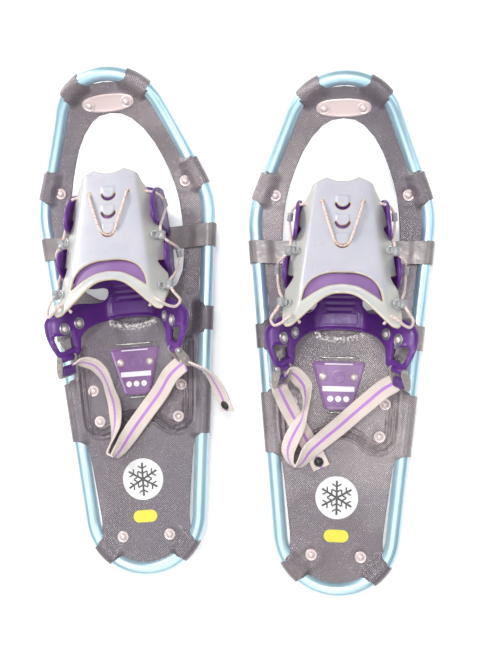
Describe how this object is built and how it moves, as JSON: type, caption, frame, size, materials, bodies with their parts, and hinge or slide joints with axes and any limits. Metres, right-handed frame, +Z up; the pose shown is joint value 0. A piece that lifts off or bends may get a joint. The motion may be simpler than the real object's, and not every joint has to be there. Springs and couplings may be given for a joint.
{
  "type": "snowshoes",
  "caption": "Pair of tapered tube-framed snowshoes with a laced toe cover, heel strap, hinged binding and under-foot claws.",
  "frame": {"origin": "centre of the pair's box, on the surface that the claws stand on", "axes": "+Y towards the toes, +Z up, +X to the right of a person facing +Y"},
  "size_m": [0.442, 0.5556, 0.13],
  "materials": {
    "tube": "satin",
    "deck": "satin coated fabric",
    "steel": "brushed",
    "claw_steel": "plain",
    "rivet": "polished",
    "plum": "satin",
    "heel_plate": "gloss",
    "tongue": "satin",
    "cover": "translucent urethane",
    "taupe": "satin",
    "clear": "translucent",
    "webbing": "woven",
    "cord": "braided",
    "snap": "matt"
  },
  "bodies": {
    "right_frame": {"right_frame_tube": "tube", "right_deck": "deck", "right_nose_plate": "steel", "right_nose_rivets": "rivet", "right_deck_rivets": "rivet", "right_heel_plate": "heel_plate", "right_heel_plate_rivets": "rivet", "right_plate_bars": "steel", "right_heel_crampon": "claw_steel", "right_strap_ends": "deck"},
    "right_binding": {"right_strap_centre": "deck", "right_binding_base": "plum", "right_toe_crampon": "claw_steel", "right_crampon_bolts": "claw_steel", "right_wing_rivets": "rivet", "right_wing_washers": "steel", "right_wing_clips": "taupe", "right_top_cover": "cover", "right_inner_tongue": "tongue", "right_lace": "cord", "right_cord_guides": "clear", "right_cord_ferrules": "clear", "right_heel_strap": "webbing", "right_strap_snap": "snap", "right_buckle_pins": "rivet"},
    "right_adjuster_buckle": {"right_adjuster_buckle": "taupe"},
    "right_adjuster_lever": {"right_adjuster_lever": "plum"},
    "right_anchor_buckle": {"right_anchor_buckle": "taupe"},
    "right_anchor_lever": {"right_anchor_lever": "plum"},
    "left_frame": {"left_frame_tube": "tube", "left_deck": "deck", "left_nose_plate": "steel", "left_nose_rivets": "rivet", "left_deck_rivets": "rivet", "left_heel_plate": "heel_plate", "left_heel_plate_rivets": "rivet", "left_plate_bars": "steel", "left_heel_crampon": "claw_steel", "left_strap_ends": "deck"},
    "left_binding": {"left_strap_centre": "deck", "left_binding_base": "plum", "left_toe_crampon": "claw_steel", "left_crampon_bolts": "claw_steel", "left_wing_rivets": "rivet", "left_wing_washers": "steel", "left_wing_clips": "taupe", "left_top_cover": "cover", "left_inner_tongue": "tongue", "left_lace": "cord", "left_cord_guides": "clear", "left_cord_ferrules": "clear", "left_heel_strap": "webbing", "left_strap_snap": "snap", "left_buckle_pins": "rivet"},
    "left_adjuster_buckle": {"left_adjuster_buckle": "taupe"},
    "left_adjuster_lever": {"left_adjuster_lever": "plum"},
    "left_anchor_buckle": {"left_anchor_buckle": "taupe"},
    "left_anchor_lever": {"left_anchor_lever": "plum"}
  },
  "joints": [
    {"name": "left_shoe_lift", "type": "slide", "parent": "right_frame", "child": "left_frame", "axis": [0, 0, 1], "range_m": [0, 0.25]},
    {"name": "left_binding_pivot", "type": "hinge", "parent": "left_frame", "child": "left_binding", "pos_m": [-0.11754, 0.10238, 0.0364], "axis": [-0.9965, -0.0837, 0], "range_deg": [0, 60], "stiffness_Nm_per_rad": 0.35},
    {"name": "left_adjuster_buckle_swing", "type": "hinge", "parent": "left_binding", "child": "left_adjuster_buckle", "pos_m": [-0.05007, -0.0199, 0.0922], "axis": [-0.5743, 0.2007, -0.7936], "range_deg": [0, 75]},
    {"name": "left_adjuster_lever_open", "type": "hinge", "parent": "left_adjuster_buckle", "child": "left_adjuster_lever", "pos_m": [-0.04451, -0.02735, 0.08629], "axis": [0.5743, -0.2007, 0.7936], "range_deg": [0, 60]},
    {"name": "left_anchor_buckle_swing", "type": "hinge", "parent": "left_binding", "child": "left_anchor_buckle", "pos_m": [-0.16367, -0.02944, 0.0922], "axis": [-0.5328, -0.2936, 0.7936], "range_deg": [0, 55]},
    {"name": "left_anchor_lever_open", "type": "hinge", "parent": "left_anchor_buckle", "child": "left_anchor_lever", "pos_m": [-0.16482, -0.03944, 0.08773], "axis": [-0.5328, -0.2936, 0.7936], "range_deg": [0, 60]},
    {"name": "right_binding_pivot", "type": "hinge", "parent": "right_frame", "child": "right_binding", "pos_m": [0.11946, 0.08818, 0.0364], "axis": [-0.9998, 0.0175, 0], "range_deg": [0, 60], "stiffness_Nm_per_rad": 0.35},
    {"name": "right_adjuster_buckle_swing", "type": "hinge", "parent": "right_binding", "child": "right_adjuster_buckle", "pos_m": [0.06024, -0.03831, 0.0922], "axis": [-0.5598, -0.2383, 0.7936], "range_deg": [0, 55]},
    {"name": "right_adjuster_lever_open", "type": "hinge", "parent": "right_adjuster_buckle", "child": "right_adjuster_lever", "pos_m": [0.05809, -0.04813, 0.08773], "axis": [0.5598, 0.2383, -0.7936], "range_deg": [0, 60]},
    {"name": "right_anchor_buckle_swing", "type": "hinge", "parent": "right_binding", "child": "right_anchor_buckle", "pos_m": [0.17423, -0.04029, 0.0922], "axis": [-0.5511, 0.2577, -0.7936], "range_deg": [0, 61]},
    {"name": "right_anchor_lever_open", "type": "hinge", "parent": "right_anchor_buckle", "child": "right_anchor_lever", "pos_m": [0.17697, -0.04973, 0.08723], "axis": [-0.5511, 0.2577, -0.7936], "range_deg": [0, 60]}
  ]
}
